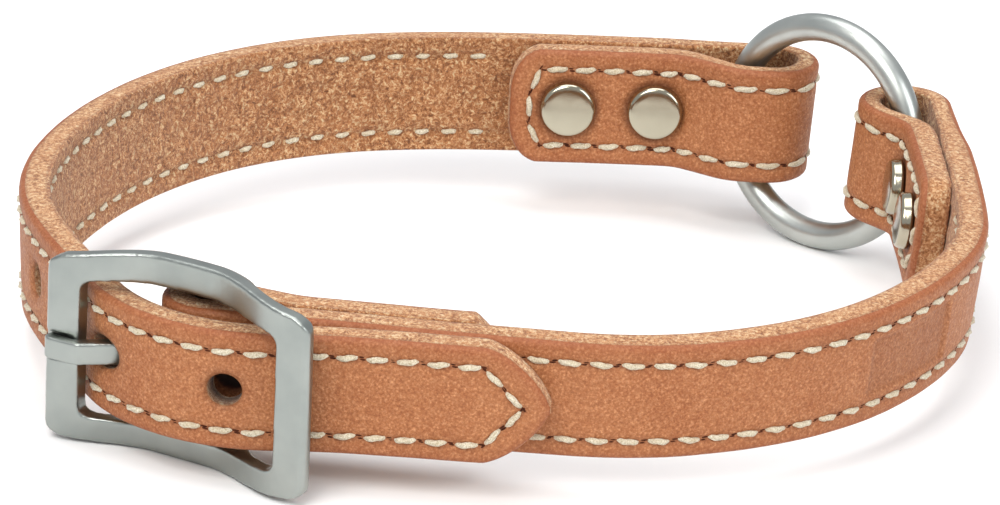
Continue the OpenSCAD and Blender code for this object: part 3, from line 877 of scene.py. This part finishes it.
# ---- Cast pieces: the CAD shape with the soft edges of a casting --------------------------------
def soften(node, name, voxel, rounds, mat, body, slot):
    src = frame["nodes"][node]
    o = bpy.data.objects.new(name, src.data.copy())
    bpy.context.scene.collection.objects.link(o)
    o.data.materials.clear()
    o.data.materials.append(mat)
    for kind, props in (("REMESH", {"mode": "VOXEL", "voxel_size": voxel / 1000, "use_smooth_shade": True}),
                        ("SMOOTH", {"factor": 0.5, "iterations": rounds})):
        md = o.modifiers.new(kind.lower(), kind)
        for k, v in props.items():
            setattr(md, k, v)
    dg = bpy.context.evaluated_depsgraph_get()
    me = bpy.data.meshes.new_from_object(o.evaluated_get(dg))
    o.modifiers.clear()
    o.data = me
    me.polygons.foreach_set("use_smooth", np.ones(len(me.polygons), bool))
    me.materials.clear()
    me.materials.append(mat)
    return piece(o, body, slot, node)


CROWN, UPPER_SLOPE, LOWER_SLOPE = 1.0, 0.75, 0.5


def round_rails(o):
    """Slope the frame's side rails down behind, and crown the upper one, as on a cast frame."""
    co = np.empty(len(o.data.vertices) * 3)
    o.data.vertices.foreach_get("co", co)
    q = (co.reshape(-1, 3) * 1000 - STAND_T) @ STAND_R
    x, y, z = (q[:, :2] - BAR_MID) @ BAR_X, (q[:, :2] - BAR_MID) @ BAR_Y, q[:, 2] - HALF - LIFT
    from_pin = np.abs(x - (np.array(PIN) - BAR_MID) @ BAR_X)
    bow = FRAME_BOW * (1 - smooth(0.1 * FRAME_L, 0.44 * FRAME_L, from_pin))
    behind = np.maximum(y - bow - FRAME_T / 2 + 0.8, 0)
    upper = z > 0
    crown = np.where(upper, CROWN * (1 - (2 * x / FRAME_L) ** 2), 0)
    fall = np.where(upper, UPPER_SLOPE, LOWER_SLOPE) * behind ** 2 / (behind + 1)
    outside = smooth(11.4, 13.8, np.abs(z))
    q[:, 2] += np.sign(z) * outside * (crown - fall)
    o.data.vertices.foreach_set("co", stand(q).ravel())
    o.data.update()


round_rails(soften("buckle_frame", "buckle_frame_casting", 0.17, 44, CAST, "buckle", "buckle_metal"))
soften("tongue", "buckle_tongue", 0.13, 70, CAST, "tongue", "buckle_metal")


ROD_HALF = 12.2


def bar_piece():
    """The centre bar between the rails; its ends stay inside the metal."""
    pin = next(j for j in frame["record"]["behaviour"]["joints"] if j["name"] == "buckle_rock")
    c, z = np.array(pin["pos_m"]), np.array(pin["axis"])
    z /= np.linalg.norm(z)
    x = np.cross(z, (0, 1.0, 0))
    x /= np.linalg.norm(x)
    y = np.cross(z, x)
    h, r = ROD_HALF, PIN_D / 2
    profile = [(0, -h), (r - 0.35, -h), (r - 0.1, -h + 0.1), (r, -h + 0.4), (r, -4), (r, 4), (r, h - 0.4),
               (r - 0.1, h - 0.1), (r - 0.35, h), (0, h)]
    pv, pf = lathe(profile, 48)
    verts = [c + (x * p[0] + y * p[1] + z * p[2]) / 1000 for p in pv]
    return piece(new_mesh("centre_bar_rod", verts, pf, [BAR]), "buckle", "bar_steel", "centre_bar")


bar_piece()


# ---- Stage ------------------------------------------------------------------------------------
def stage():
    k = Look("floor_paper")
    k.set("Base Color", k.ramp(k.noise(60, 3), (0.3, (0.88, 0.88, 0.88)), (0.7, (0.90, 0.90, 0.90))))
    k.put(Roughness=0.9, Specular_IOR_Level=0.1)
    floor = new_mesh("floor", [(-6, -6, 0), (6, -6, 0), (6, 6, 0), (-6, 6, 0)], [[0, 1, 2, 3]], [k.m])
    world = bpy.data.worlds.new("studio")
    bpy.context.scene.world = world
    world.use_nodes = True
    world.node_tree.nodes["Background"].inputs[0].default_value = (0.92, 0.95, 1.0, 1)
    world.node_tree.nodes["Background"].inputs[1].default_value = 0.62
    for name, at, size, power, colour in (
            ("key", (-0.35, -0.75, 0.95), 0.7, 11.0, (1.0, 0.98, 0.95)),
            ("fill", (0.85, -0.55, 0.6), 0.6, 5.0, (0.97, 0.99, 1.0)),
            ("top", (0.0, 0.25, 1.2), 1.0, 9.0, (1.0, 1.0, 1.0))):
        light = bpy.data.lights.new(name, "AREA")
        light.shape, light.size, light.energy, light.color = "SQUARE", size, power, colour
        o = bpy.data.objects.new(name, light)
        bpy.context.scene.collection.objects.link(o)
        o.location = at
        o.rotation_mode = "QUATERNION"
        o.rotation_quaternion = (Vector(at) - Vector((0, 0, 0.015))).to_track_quat("Z", "Y")
    bpy.context.scene.view_settings.view_transform = "Standard"
    bpy.context.scene.view_settings.look = "None"


stage()
